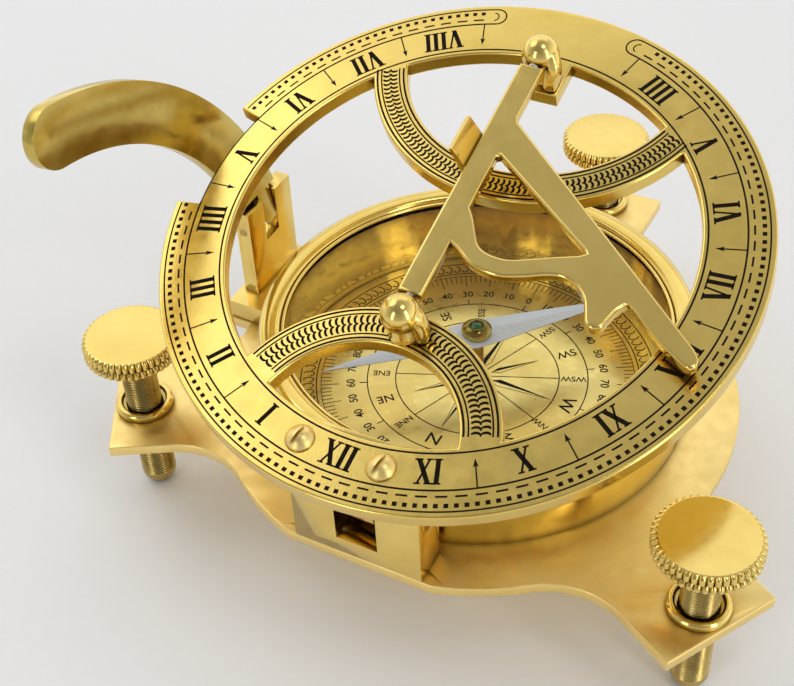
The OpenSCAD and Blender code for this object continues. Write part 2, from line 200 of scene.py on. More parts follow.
def black_fill():
    """Black wax pressed into the engraving, a little dusty."""
    material, tree, shader, place = start_material("black_fill")
    dust = mapped(tree, noise(tree, place, 900, 4), 0, 1)
    tone = blended(tree, dust, (0.002, 0.0013, 0.0006), (0.014, 0.009, 0.003))
    tree.links.new(tone, shader.inputs["Base Color"])
    shader.inputs["Specular IOR Level"].default_value = 0.08
    tree.links.new(mapped(tree, noise(tree, place, 2200, 2), 0.42, 0.7), shader.inputs["Roughness"])
    return material


def clear_glass():
    """Thin window glass: what is behind it shows through, with a gloss that grows at a glance."""
    material = bpy.data.materials.new("window_glass")
    material.use_nodes = True
    tree = material.node_tree
    tree.nodes.remove(tree.nodes["Principled BSDF"])
    through = node(tree, "ShaderNodeBsdfTransparent", {"Color": (0.97, 0.985, 0.975, 1)})
    gloss = node(tree, "ShaderNodeBsdfGlossy", {"Color": (1, 1, 1, 1)})
    place = node(tree, "ShaderNodeTexCoord").outputs["Object"]
    tree.links.new(mapped(tree, noise(tree, place, 150, 3), 0.01, 0.05), gloss.inputs["Roughness"])
    fresnel = node(tree, "ShaderNodeFresnel", {"IOR": 1.14})
    facing = node(tree, "ShaderNodeNewGeometry").outputs["Backfacing"]
    outer = node(tree, "ShaderNodeMath", operation="SUBTRACT", use_clamp=True)
    tree.links.new(fresnel.outputs[0], outer.inputs[0])
    tree.links.new(facing, outer.inputs[1])
    mix = node(tree, "ShaderNodeMixShader")
    tree.links.new(outer.outputs[0], mix.inputs[0])
    tree.links.new(through.outputs[0], mix.inputs[1])
    tree.links.new(gloss.outputs[0], mix.inputs[2])
    tree.links.new(mix.outputs[0], tree.nodes["Material Output"].inputs["Surface"])
    return material


def needle_steel():
    """Pale blue-grey satin steel with a faint grain along the needle."""
    material, tree, shader, place = start_material("needle_steel")
    turned = node(tree, "ShaderNodeMapping",
                  {"Rotation": (0, 0, math.radians(-45)), "Scale": (300, 5000, 300)})
    tree.links.new(place, turned.inputs["Vector"])
    grain = noise(tree, turned.outputs["Vector"], 1, 3)
    tone = blended(tree, mapped(tree, grain, 0, 1), (0.6, 0.62, 0.72), (0.78, 0.8, 0.9))
    tree.links.new(tone, shader.inputs["Base Color"])
    shader.inputs["Metallic"].default_value = 0.15
    tree.links.new(mapped(tree, grain, 0.3, 0.42), shader.inputs["Roughness"])
    return material


def ground_steel():
    """Plain ground steel, a little cloudy."""
    material, tree, shader, place = start_material("steel_pin")
    grain = noise(tree, place, 1800, 3)
    tree.links.new(blended(tree, mapped(tree, grain, 0, 1), (0.4, 0.39, 0.37), (0.62, 0.61, 0.58)),
                   shader.inputs["Base Color"])
    shader.inputs["Metallic"].default_value = 1.0
    tree.links.new(mapped(tree, grain, 0.2, 0.4), shader.inputs["Roughness"])
    return material


def green_stone():
    """Polished green stone with darker veins."""
    material, tree, shader, place = start_material("green_stone")
    veins = noise(tree, place, 1500, 5, 0.7)
    tree.links.new(blended(tree, mapped(tree, veins, 0, 1), (0.002, 0.05, 0.014), (0.01, 0.19, 0.05)),
                   shader.inputs["Base Color"])
    tree.links.new(mapped(tree, veins, 0.05, 0.12), shader.inputs["Roughness"])
    shader.inputs["Coat Weight"].default_value = 0.2
    shader.inputs["Coat Roughness"].default_value = 0.03
    return material


MATERIALS = {
    "brass": brass("brass", (0.88, 0.66, 0.21), (0.78, 0.57, 0.16), 0.14),
    "arm_brass": brass("arm_brass", (0.68, 0.52, 0.15), (0.56, 0.42, 0.1), 0.2, (0.3, 1, 0.3), 0.6, 0.02),
    "plate_brass": brass("plate_brass", (0.95, 0.72, 0.28), (0.9, 0.67, 0.23), 0.36, (0.2, 1, 1), 0.5),
    "ring_brass": brass("ring_brass", (0.88, 0.65, 0.19), (0.79, 0.57, 0.14), 0.2, (1, 0.15, 1)),
    "card_brass": brass("card_brass", (0.93, 0.72, 0.28), (0.87, 0.66, 0.22), 0.3, (0.2, 1, 1), 0.4),
    "case_brass": brass("case_brass", (0.8, 0.6, 0.18), (0.72, 0.52, 0.13), 0.12, (0.1, 0.1, 1), 0.6, 0.008),
    "dark_brass": brass("dark_brass", (0.6, 0.44, 0.15), (0.34, 0.24, 0.07), 0.26, (0.3, 0.3, 1), 0.85),
    "glass": clear_glass(),
    "needle_steel": needle_steel(),
    "jewel": green_stone(),
    "steel_pin": ground_steel(),
    "black_fill": black_fill(),
}


# ---------------------------------------------------------------- mesh helpers

def add_piece(name, verts, faces, body, slot, place=ROW, replaces=(), smooth=38, even=True):
    """A closed mesh in millimetres of the given frame, riding on a body, with its slot's material."""
    mesh = bpy.data.meshes.new(name)
    mesh.from_pydata([place @ Vector(v) for v in verts], [], faces)
    mesh.validate()
    obj = bpy.data.objects.new(name, mesh)
    bpy.context.scene.collection.objects.link(obj)
    mesh.materials.append(MATERIALS[slot])
    face_outwards(mesh)
    shade(obj, smooth, even)
    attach(obj, body)
    if replaces:
        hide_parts(*replaces)
    return obj


def face_outwards(mesh):
    shape = bmesh.new()
    shape.from_mesh(mesh)
    bmesh.ops.recalc_face_normals(shape, faces=shape.faces)
    shape.to_mesh(mesh)
    shape.free()


def weld(mesh, distance):
    shape = bmesh.new()
    shape.from_mesh(mesh)
    bmesh.ops.remove_doubles(shape, verts=shape.verts, dist=distance)
    shape.to_mesh(mesh)
    shape.free()


def even_normals(obj):
    obj.modifiers.new("even_normals", "WEIGHTED_NORMAL").keep_sharp = True


def shade(obj, smooth, even):
    """Shades a piece made here smooth, except at edges that turn by more than smooth degrees."""
    obj.data.shade_smooth()
    obj.data.set_sharp_from_angle(angle=math.radians(smooth))
    if even:
        even_normals(obj)


def lathe(profile, steps=96, closed=False, wave=None):
    """Solid turned about Z from (radius, height) points; a closed profile makes a ring.
    wave(angle, radius, height) may give each point a radius of its own."""
    verts, faces, rows = [], [], []
    for r, z in profile:
        if r < 1e-6:
            rows.append([len(verts)] * steps)
            verts.append((0, 0, z))
            continue
        rows.append(list(range(len(verts), len(verts) + steps)))
        for k in range(steps):
            a = 2 * math.pi * k / steps
            radius = wave(a, r, z) if wave else r
            verts.append((radius * math.cos(a), radius * math.sin(a), z))
    pairs = list(zip(rows, rows[1:]))
    if closed:
        pairs.append((rows[-1], rows[0]))
    for low, high in pairs:
        for k in range(steps):
            n = (k + 1) % steps
            corners = [low[k], low[n], high[n], high[k]]
            faces.append([c for i, c in enumerate(corners) if c not in corners[:i]])
    return verts, [f for f in faces if len(f) > 2]


def arc(cx, cy, r, start, end, step=1.5):
    """Points on a circle from start to end, in degrees, both ends in."""
    count = max(2, int(abs(end - start) / step))
    angles = [math.radians(start + (end - start) * k / count) for k in range(count + 1)]
    return [(cx + r * math.cos(a), cy + r * math.sin(a)) for a in angles]


def signed_area(loop):
    return sum(a[0] * b[1] - b[0] * a[1] for a, b in zip(loop, loop[1:] + loop[:1])) / 2


def shrunk(loop, inset):
    """The loop moved to its left by inset, with mitred corners."""
    out = []
    for before, here, after in zip(loop[-1:] + loop[:-1], loop, loop[1:] + loop[:1]):
        a = (Vector(here) - Vector(before)).normalized()
        b = (Vector(after) - Vector(here)).normalized()
        normal = Vector((-a.y - b.y, a.x + b.x))
        if normal.length < 1e-6:
            normal = Vector((-a.y, a.x))
        normal.normalize()
        grow = min(1 / max(0.35, normal.dot(Vector((-a.y, a.x)))), 2.2)
        out.append(tuple(Vector(here) + normal * inset * grow))
    return out


def rounded_plate(loops, low, high, edge, steps=3):
    """Plate between two heights with all its edges rounded. The first loop is its outline, the rest holes."""
    loops = [loop if (signed_area(loop) > 0) == (i == 0) else loop[::-1] for i, loop in enumerate(loops)]
    turns = [math.radians(90 * k / steps) for k in range(steps + 1)]
    rows = [(edge * (1 - math.sin(t)), high - edge * (1 - math.cos(t))) for t in turns]
    rows += [(inset, low + high - z) for inset, z in reversed(rows)]
    verts, faces = [], []
    tops, bottoms = [], []
    for loop in loops:
        count = len(loop)
        starts = []
        for inset, z in rows:
            starts.append(len(verts))
            verts += [(x, y, z) for x, y in (shrunk(loop, inset) if inset else loop)]
        for first, second in zip(starts, starts[1:]):
            for k in range(count):
                n = (k + 1) % count
                faces.append((first + k, second + k, second + n, first + n))
        tops += range(starts[0], starts[0] + count)
        bottoms += range(starts[-1], starts[-1] + count)
    flat = [[Vector((x, y, 0)) for x, y in shrunk(loop, edge)] for loop in loops]
    for triangle in tessellate_polygon(flat):
        faces.append(tuple(tops[i] for i in triangle))
        faces.append(tuple(bottoms[i] for i in reversed(triangle)))
    return verts, faces


def smooth_run(points, steps=5):
    """Points of a curve that passes through the given ones."""
    ends = [points[0], *points, points[-1]]
    out = []
    for a, b, c, d in zip(ends, ends[1:], ends[2:], ends[3:]):
        for k in range(steps):
            t = k / steps
            out.append(tuple(
                0.5 * (2 * q + (r - p) * t + (2 * p - 5 * q + 4 * r - s) * t * t
                       + (3 * q - p - 3 * r + s) * t ** 3)
                for p, q, r, s in zip(a, b, c, d)))
    return out + [points[-1]]


class Inlay:
    """Thin closed strips of black wax, sunk in a face and standing a hair proud of it."""

    def __init__(self, proud=0.025, sunk=0.12):
        self.verts, self.faces = [], []
        self.top, self.low = proud, -sunk

    def polygon(self, points):
        count, base = len(points), len(self.verts)
        self.verts += [(x, y, z) for z in (self.top, self.low) for x, y in points]
        self.faces.append(tuple(range(base, base + count)))
        self.faces.append(tuple(range(base + 2 * count - 1, base + count - 1, -1)))
        for k in range(count):
            n = (k + 1) % count
            self.faces.append((base + k, base + count + k, base + count + n, base + n))

    def ribbon(self, points, width, closed=False):
        """A line of one width along the points; width may be a list with one value a point."""
        widths = width if isinstance(width, list) else [width] * len(points)
        sides = []
        for k, (here, w) in enumerate(zip(points, widths)):
            before = points[k - 1] if k or closed else here
            after = points[(k + 1) % len(points)] if k + 1 < len(points) or closed else here
            way = (Vector(after) - Vector(before)).normalized()
            side = Vector((-way.y, way.x)) * w / 2
            sides.append((Vector(here) + side, Vector(here) - side))
        base, count = len(self.verts), len(points)
        for left, right in sides:
            self.verts += [(*left, self.top), (*right, self.top), (*right, self.low), (*left, self.low)]
        for k in range(count if closed else count - 1):
            n = (k + 1) % count
            for i in range(4):
                j = (i + 1) % 4
                self.faces.append((base + 4 * k + i, base + 4 * n + i, base + 4 * n + j, base + 4 * k + j))
        if not closed:
            self.faces.append(tuple(base + i for i in range(4)))
            self.faces.append(tuple(base + 4 * (count - 1) + i for i in reversed(range(4))))

    def placed_polygon(self, points, place):
        self.polygon([place(u, v) for u, v in points])

    def piece(self, name, body, place):
        return add_piece(name, self.verts, self.faces, body, "black_fill", place, smooth=20, even=False)


def at_hour(angle, radius):
    """Places a point (u to the right, v inwards) seen from outside the dial at that angle from noon."""
    a = math.radians(angle)
    out, right = Vector((math.sin(a), -math.cos(a))), Vector((math.cos(a), math.sin(a)))
    return lambda u, v: tuple(out * (radius - v) + right * u)


def clock(angle, radius):
    return at_hour(angle, radius)(0, 0)


def clock_arc(radius, start, end, step=1.2):
    count = max(2, int(abs(end - start) / step))
    return [clock(start + (end - start) * k / count, radius) for k in range(count + 1)]


# ---------------------------------------------------------------- roman numerals

SERIF = 0.32


def slanted(x0, y0, x1, y1, w):
    return [(x0 - w / 2, y0), (x0 + w / 2, y0), (x1 + w / 2, y1), (x1 - w / 2, y1)]


def bar(x, y, w, h=SERIF):
    return [(x - w / 2, y - h / 2), (x + w / 2, y - h / 2), (x + w / 2, y + h / 2), (x - w / 2, y + h / 2)]


def glyph(letter):
    """(width, strokes) of a serif I, V or X, as high as the ring's numerals."""
    h = NUMERAL_H
    top, low = h - SERIF / 2, SERIF / 2
    if letter == "I":
        return 1.62, [slanted(0, 0.1, 0, h - 0.1, 0.86), bar(0, low, 1.5), bar(0, top, 1.5)]
    if letter == "V":
        return 3.1, [slanted(0.1, 0, -0.95, h - 0.1, 0.92), slanted(0.1, 0, 1.05, h - 0.1, 0.38),
                     bar(-0.95, top, 1.5), bar(1.05, top, 1.0)]
    return 3.2, [slanted(0.95, 0.1, -0.95, h - 0.1, 0.92), slanted(-0.95, 0.1, 0.95, h - 0.1, 0.4),
                 bar(-0.95, top, 1.45), bar(0.95, top, 1.1), bar(0.95, low, 1.45), bar(-0.95, low, 1.1)]


def numeral(inlay, text, angle):
    place = at_hour(angle, NUMERAL_FOOT)
    glyphs = [glyph(letter) for letter in text]
    at = -sum(width for width, _ in glyphs) / 2
    for width, strokes in glyphs:
        for stroke in strokes:
            inlay.placed_polygon([(at + width / 2 + u, v) for u, v in stroke], place)
        at += width


def half_hour_arrow(inlay, angle):
    place = at_hour(angle, LINE_MID)
    tip = LINE_MID - ARROW_TIP
    inlay.placed_polygon([(-0.13, 0), (0.13, 0), (0.13, tip - 1.3), (-0.13, tip - 1.3)], place)
    inlay.placed_polygon([(-0.5, tip - 1.7), (0, tip - 1.35), (0.5, tip - 1.7), (0, tip)], place)


# ---------------------------------------------------------------- hour ring

def crossing(y0, r0, sign):
    """Where a circle about (0, y0) meets the ring's inner circle, on one side."""
    y = (RING_IN ** 2 - r0 ** 2 + y0 ** 2) / (2 * y0)
    return sign * math.sqrt(RING_IN ** 2 - y * y), y


def angle_of(point, y0=0.0):
    return math.degrees(math.atan2(point[1] - y0, point[0]))


def ring_loops():
    tab_w, tab_end = 9.4, 36.6
    outer = clock_arc(RING_OUT, -NOTCH_FROM, 360 - NOTCH_TO, 1.0)
    outer += clock_arc(NOTCH_R, 360 - NOTCH_TO, 360 - NOTCH_FROM, 1.0)
    east, west = crossing(LOW_ARC_Y, LOW_ARC[0], 1), crossing(LOW_ARC_Y, LOW_ARC[0], -1)
    lower = arc(0, LOW_ARC_Y, LOW_ARC[0], angle_of(east, LOW_ARC_Y), angle_of(west, LOW_ARC_Y))
    lower += arc(0, 0, RING_IN, angle_of(west), angle_of(east))[1:-1]
    east, west = crossing(LOW_ARC_Y, LOW_ARC[1], 1), crossing(LOW_ARC_Y, LOW_ARC[1], -1)
    east_up, west_up = crossing(HIGH_ARC_Y, HIGH_ARC[1], 1), crossing(HIGH_ARC_Y, HIGH_ARC[1], -1)
    middle = arc(0, LOW_ARC_Y, LOW_ARC[1], angle_of(west, LOW_ARC_Y), angle_of(east, LOW_ARC_Y))
    middle += arc(0, 0, RING_IN, angle_of(east), angle_of(east_up))[1:-1]
    middle += arc(0, HIGH_ARC_Y, HIGH_ARC[1], angle_of(east_up, HIGH_ARC_Y), angle_of(west_up, HIGH_ARC_Y))
    middle += arc(0, 0, RING_IN, angle_of(west_up), angle_of(west) + 360)[1:-1]
    east, west = crossing(HIGH_ARC_Y, HIGH_ARC[0], 1), crossing(HIGH_ARC_Y, HIGH_ARC[0], -1)
    tab_x = tab_w / 2
    tab_y = math.sqrt(RING_IN ** 2 - tab_x ** 2)
    upper = arc(0, HIGH_ARC_Y, HIGH_ARC[0], angle_of(west, HIGH_ARC_Y), angle_of(east, HIGH_ARC_Y))
    upper += arc(0, 0, RING_IN, angle_of(east), angle_of((tab_x, tab_y)))[1:]
    upper += [(tab_x, tab_end), (-tab_x, tab_end)]
    upper += arc(0, 0, RING_IN, angle_of((-tab_x, tab_y)), angle_of(west))[:-1]
    return [outer, lower, middle, upper]


def hour_ring():
    verts, faces = rounded_plate(ring_loops(), -RING_T, 0, 0.45)
    add_piece("hour_ring_plate", verts, faces, "ring", "ring_brass", RING, ("hour_ring",))


def in_notch(angle, margin=0.8):
    return -NOTCH_TO - margin < angle < -NOTCH_FROM + margin


def ring_rows(inlay):
    """The three circles, the row of squares and the row of dashes, all broken at the arm's notch."""
    for start, end in ((-BAND_END, -NOTCH_TO - 0.5), (-NOTCH_FROM + 0.5, BAND_END)):
        inlay.ribbon(clock_arc(LINE_OUT, start, end), 0.3)
    inlay.ribbon(clock_arc(LINE_MID, -BAND_END, -NOTCH_TO + 0.3), 0.34)
    inlay.ribbon(clock_arc(LINE_MID, -NOTCH_TO + 0.3, -NOTCH_FROM - 0.3), 0.2)
    inlay.ribbon(clock_arc(LINE_MID, -NOTCH_FROM - 0.3, BAND_END), 0.34)
    inlay.ribbon(clock_arc(LINE_IN, 0, 357, 1.0) + [clock(358.2, LINE_IN)], 0.34, closed=True)
    count = int(2 * (BAND_END - 3) / ROW_STEP)
    for k in range(count + 1):
        angle = -BAND_END + 3 + k * ROW_STEP
        if in_notch(angle):
            continue
        inlay.placed_polygon(bar(0, 0, 0.82, 0.8), at_hour(angle, SQUARE_ROW))
        if k % 2 == 0 and not in_notch(angle + 0.9, 1.6):
            inlay.ribbon(clock_arc(DASH_ROW, angle - 0.2, angle + 2.0), 0.36)


def band_ends(inlay):
    """The band's two rounded ends, on either side of the plain stretch opposite noon."""
    middle, radius = (LINE_OUT + LINE_MID) / 2, (LINE_OUT - LINE_MID) / 2
    for side in (-1, 1):
        place = at_hour(side * BAND_END, middle)
        turn = [math.radians(-90 + 15 * k) for k in range(13)]
        outer = [place(side * radius * math.cos(t), radius * math.sin(t)) for t in turn]
        inner = [place(side * (0.45 * radius * math.cos(t) - 0.5), 0.5 * radius * math.sin(t)) for t in turn]
        inlay.ribbon(outer, 0.3)
        inlay.ribbon(inner, 0.24)


def fret_border(inlay, y0, radii, start, end):
    """Double lines along a fret arc with a row of black curls between them, from start to end in degrees."""
    inner, outer = radii
    for r, w in ((inner + 0.8, 0.4), (inner + 1.65, 0.3), (outer - 1.65, 0.3), (outer - 0.8, 0.4)):
        inlay.ribbon(arc(0, y0, r, start, end, 2), w)
    middle, reach = (inner + outer) / 2, (outer - inner) / 2 - 2.0
    count = int(math.radians(abs(end - start)) * middle / 1.12)
    for k in range(count):
        a = math.radians(start + (end - start) * (k + 0.5) / count)
        out, along = Vector((math.cos(a), math.sin(a))), Vector((-math.sin(a), math.cos(a)))
        hub = Vector((0, y0)) + out * middle

        def spot(u, v):
            return tuple(hub + along * u + out * v)

        for side in (-1, 1):
            curl = [math.radians(-75 + 30 * i) for i in range(7)]
            points = [spot(0.4 * math.cos(t) - 0.16, side * reach * 0.5 + 0.44 * reach * math.sin(t))
                      for t in curl]
            inlay.ribbon(points, [0.3, 0.42, 0.5, 0.52, 0.5, 0.42, 0.3])
        inlay.polygon([spot(-0.5, -0.15), spot(0.1, -0.22), spot(0.1, 0.22), spot(-0.5, 0.15)])


def ring_engraving():
    inlay = Inlay()
    ring_rows(inlay)
    band_ends(inlay)
    east = ["XII", "XI", "X", "IX", "VIII", "VII", "VI", "V", "IIII"]
    west = ["I", "II", "III", "IIII", "V", "VI", "VII", "VIII"]
    for k, text in enumerate(east):
        numeral(inlay, text, k * HOUR_STEP)
    for k, text in enumerate(west):
        numeral(inlay, text, -(k + 1) * HOUR_STEP)
    for k in range(1, 9):
        for side in (-1, 1):
            half_hour_arrow(inlay, side * (k + 0.5) * HOUR_STEP)
    low_edge = angle_of(crossing(LOW_ARC_Y, LOW_ARC[1], 1), LOW_ARC_Y) + 1.5
    fret_border(inlay, LOW_ARC_Y, LOW_ARC, low_edge, 180 - low_edge)
    high_edge = angle_of(crossing(HIGH_ARC_Y, HIGH_ARC[0], 1), HIGH_ARC_Y) - 1.5
    fret_border(inlay, HIGH_ARC_Y, HIGH_ARC, high_edge, -180 - high_edge)
    inlay.piece("hour_ring_engraving", "ring", RING)


# ---------------------------------------------------------------- lugs and gnomon

def swept(points, radii, sides=20):
    """Closed round rod along the points, with its own radius at each."""
    verts, faces, rows = [], [], []
    up = Vector((1, 0, 0.001))
    for k, (here, r) in enumerate(zip(points, radii)):
        before, after = points[max(0, k - 1)], points[min(len(points) - 1, k + 1)]
        way = (Vector(after) - Vector(before)).normalized()
        side = way.cross(up).normalized()
        up = side.cross(way).normalized()
        rows.append(len(verts))
        for s in range(sides):
            a = 2 * math.pi * s / sides
            verts.append(tuple(Vector(here) + side * r * math.cos(a) + up * r * math.sin(a)))
    for first, second in zip(rows, rows[1:]):
        for s in range(sides):
            n = (s + 1) % sides
            faces.append((first + s, first + n, second + n, second + s))
    faces.append(tuple(range(rows[0], rows[0] + sides))[::-1])
    faces.append(tuple(range(rows[-1], rows[-1] + sides)))
    return verts, faces


def joined(*parts):
    verts, faces = [], []
    for part_verts, part_faces in parts:
        base = len(verts)
        verts += part_verts
        faces += [tuple(i + base for i in face) for face in part_faces]
    return verts, faces


def fused(obj, voxel):
    """Melts overlapping closed shapes into one skin, softly blended where they meet."""
    remesh = obj.modifiers.new("fuse", "REMESH")
    remesh.mode = "VOXEL"
    remesh.voxel_size = voxel
    remesh.use_smooth_shade = True
    soften = obj.modifiers.new("soften", "SMOOTH")
    soften.factor, soften.iterations = 0.5, 4


def lug(name, y, tail, node_name):
    """A ball on a short neck, with a tail that curls down to the ring beside it."""
    ball = lathe([(LUG_BALL_R * math.sin(math.radians(a)) if 0 < a < 180 else 0,
                   GNOMON_H - LUG_BALL_R * math.cos(math.radians(a))) for a in range(0, 181, 9)], 40)
    neck = lathe([(0, -RING_T), (1.5, -RING_T), (1.5, -0.3), (3.5, 0), (3.1, 0.8), (2.5, 2.6), (0, 2.7)], 40)
    run = smooth_run(tail, 4)
    rod = swept(run, [2.3 - k / (len(run) - 1) for k in range(len(run))])
    verts, faces = joined(ball, neck, rod)
    placed = [(x, v + y, z) for x, v, z in verts]
    obj = add_piece(name, placed, faces, "ring", "brass", RING, (node_name,), 60, False)
    fused(obj, 0.14 * MM)


def lugs():
    upper_tail = [(0.6, 0.2, 6.4), (2.2, -0.6, 5.6), (3.2, -1.9, 3.6), (3.1, -3.1, 1.5), (2.9, -3.6, 0.2)]
    lower_tail = [(0.4, -0.2, 6.0), (2.4, 0.3, 5.2), (3.5, 0.0, 3.4), (3.8, -0.6, 1.4), (3.7, -0.9, 0.2)]
    lug("upper_lug_casting", UPPER_LUG_Y, upper_tail, "upper_gnomon_lug")
    lug("lower_lug_casting", LOWER_LUG_Y, lower_tail, "lower_gnomon_lug")


def gnomon_loops():
    half, low, high = 2.4, -18.3, 37.4
    brace_low = smooth_run([
        (half, -6.0), (4.4, -7), (7.4, -8.9), (11, -9.7), (14, -9.5), (17.6, -8.2), (21, -6.6), (23.8, -5.9),
        (26.8, -6.6), (29.2, -8.6), (30.4, -11), (31.4, -13.2), (32.8, -13.9), (34.4, -13.2), (35, -11.2),
        (35.8, -8.8), (37, -7.2)])
    leg = [(45, -12.8), (50.2, -15.5), (51.4, -15.5), (52.1, -14.6), (52, -13.2), (50.6, -11.6)]
    outer = [(half, low)] + brace_low + leg
    outer += [(half + 0.7, 23.6), (half, 24.5), (half, high), (-half, high), (-half, low)]
    window = smooth_run([
        (half, 2.6), (4, 0.6), (5.6, -2), (7.4, -4.6), (9.8, -5.7), (13.4, -5.7), (17, -4.3), (21, -2.4),
        (25.2, -0.6)])
    window += [(26.2, 0.2), (25.6, 0.8), (half + 0.6, 15.2), (half, 14.8)]
    return [outer, window]


def gnomon():
    """The flat casting, with the flange that stands across it and meets the fret arc."""
    plate = rounded_plate(gnomon_loops(), -GNOMON_T / 2, GNOMON_T / 2, 0.55, 4)
    section = [(-2.3, -1.0), (-2.3, 1.1), (-4.4, 5.4), (-5.2, 5.0), (-3.4, -1.1)]
    flange = rounded_plate([section], 10.6, 19, 0.25, 2)
    turned = [(x, z, y) for x, y, z in flange[0]]
    verts, faces = joined(plate, (turned, flange[1]))
    add_piece("gnomon_casting", verts, faces, "gnomon", "brass", GNOMON, ("gnomon",))


# ---------------------------------------------------------------- levelling screws

def knurled_knob(name, node_name, body):
    """Flat-topped knob whose rim has two rows of knurls, half a tooth apart."""
    low, high = box_mm(node_name)
    cx, cy = (low.x + high.x) / 2, (low.y + high.y) / 2
    top, base, boss = high.z, high.z - KNOB_H, low.z
    middle = high.z - KNOB_H / 2
    rim, hub = KNOB_R, SHANK_R

    def knurl(angle, r, z):
        if r < rim - 0.9:
            return r
        phase = KNURLS * angle + (math.pi if z < middle else 0)
        tooth = abs(math.sin(phase / 2)) ** 0.8
        return r - KNURL_DEPTH * (1 - tooth) * max(0.0, min(1.0, (r - rim + 0.9) / 0.4))

    profile = [(0, top), (3.0, top), (6.0, top), (rim - 1.3, top), (rim - 1.05, top), (rim - 0.7, top - 0.08),
               (rim - 0.12, top - 0.5), (rim, top - 0.9), (rim, middle + 0.5), (rim - 0.55, middle + 0.02),
               (rim - 0.55, middle - 0.02), (rim, middle - 0.5), (rim, base + 0.8), (rim - 0.3, base + 0.4),
               (rim - 1.0, base), (hub + 1.1, base), (hub + 0.95, base - 0.3), (hub + 0.9, boss + 0.2),
               (hub + 0.6, boss), (hub - 0.75, boss), (hub - 0.75, base + 3.0), (0, base + 3.1)]
    verts, faces = lathe(profile, KNURLS * 12, wave=knurl)
    placed = [(x + cx, y + cy, z) for x, y, z in verts]
    add_piece(name, placed, faces, body, "brass", ROW, (node_name,), 28, False)


def threaded_shank(name, node_name, body):
    """Shank with a real helical thread and a round foot."""
    low, high = box_mm(node_name)
    cx, cy, top = (low.x + high.x) / 2, (low.y + high.y) / 2, high.z
    shoulder = top - NECK_H
    start, steps = 3.4, 40
    flat = SHANK_R * math.cos(math.radians(25))
    foot = [(SHANK_R * math.sin(math.radians(a)), flat - SHANK_R * math.cos(math.radians(a)))
            for a in range(25, 91, 13)]
    rows = [(0, 0), (foot[0][0], 0)] + foot[1:] + [(SHANK_R, start)]
    count = int((shoulder - start) / THREAD_PITCH * 6)
    rows += [(SHANK_R, start + (shoulder - start) * k / count) for k in range(1, count + 1)]
    rows += [(SHANK_R - 0.8, shoulder), (SHANK_R - 0.8, top), (0, top)]

    def thread(angle, r, z):
        if r < SHANK_R or z < start - 1e-6:
            return r
        turn = (z / THREAD_PITCH - angle / (2 * math.pi)) % 1.0
        fade = min(1.0, (z - start) / THREAD_PITCH, (shoulder - z) / THREAD_PITCH + 0.02)
        return r - THREAD_DEPTH * fade * (abs(turn - 0.5) * 2) ** 1.2

    verts, faces = lathe(rows, steps, wave=thread)
    placed = [(x + cx, y + cy, z) for x, y, z in verts]
    add_piece(name, placed, faces, body, "dark_brass", ROW, (node_name,), 50, False)


def levelling_screws():
    for side in ("left", "right", "rear"):
        knurled_knob(f"knurled_knob_{side}", f"levelling_knob_{side}", f"knob_{side}")
        threaded_shank(f"threaded_shank_{side}", f"levelling_shank_{side}", f"screw_{side}")


# ---------------------------------------------------------------- compass

def needle():
    """Diamond needle with a raised ridge along its middle and a hole for the cap."""
    low, high = box_mm("compass_needle")
    reach = (high.x - low.x) / 2 * math.sqrt(2) - 0.3
    waist, hole, thin, thick = 4.2, 2.0, 0.18, 0.58
    side = waist * 0.94
    outline = [(reach, 0), (2.4, side), (0, waist), (-2.4, side), (-reach, 0), (-2.4, -side), (0, -waist),
               (2.4, -side)]
    edge, ridge = [], []
    for (x0, y0), (x1, y1) in zip(outline, outline[1:] + outline[:1]):
        edge += [(x0 + (x1 - x0) * t / 6, y0 + (y1 - y0) * t / 6) for t in range(6)]
    for x, y in edge:
        a = math.atan2(y, x)
        ridge.append((hole * math.cos(a), hole * math.sin(a)))
    verts = [(x, y, 0) for x, y in edge] + [(x, y, thin) for x, y in edge]
    verts += [((x + u) / 2, (y + v) / 2 * 0.55, thick) for (x, y), (u, v) in zip(edge, ridge)]
    verts += [(u, v, thick) for u, v in ridge] + [(u, v, 0) for u, v in ridge]
    count, faces = len(edge), []
    for first, second in ((0, 1), (1, 2), (2, 3), (3, 4), (4, 0)):
        for k in range(count):
            n = (k + 1) % count
            faces.append((first * count + k, first * count + n, second * count + n, second * count + k))
    turned = lifted(low.z) @ Matrix.Rotation(math.radians(45), 4, "Z")
    add_piece("needle_blade", verts, faces, "needle", "needle_steel", turned, ("compass_needle",), 25)


def letters(text, size, place, name):
    """Plain generic lettering for the card, cut as thin solids."""
    curve = bpy.data.curves.new(name, "FONT")
    curve.body, curve.size, curve.extrude = text, size, 0.04
    curve.align_x, curve.align_y = "CENTER", "CENTER"
    curve.offset = 0.006 * size
    shape = bpy.data.objects.new(name + "_outline", curve)
    bpy.context.scene.collection.objects.link(shape)
    bpy.context.view_layer.update()
    mesh = bpy.data.meshes.new_from_object(shape.evaluated_get(bpy.context.evaluated_depsgraph_get()))
    bpy.data.objects.remove(shape)
    weld(mesh, 1e-5)
    verts = [tuple(place @ v.co) for v in mesh.vertices]
    faces = [tuple(p.vertices) for p in mesh.polygons]
    bpy.data.meshes.remove(mesh)
    return verts, faces


def on_card(angle, radius, turn):
    """Matrix that puts a letter at that angle from the card's N, turned by turn from facing outwards."""
    x, y = clock(angle, radius)
    return (Matrix.Translation((x, y, 0)) @ Matrix.Rotation(math.radians(angle + 180 + turn), 4, "Z"))


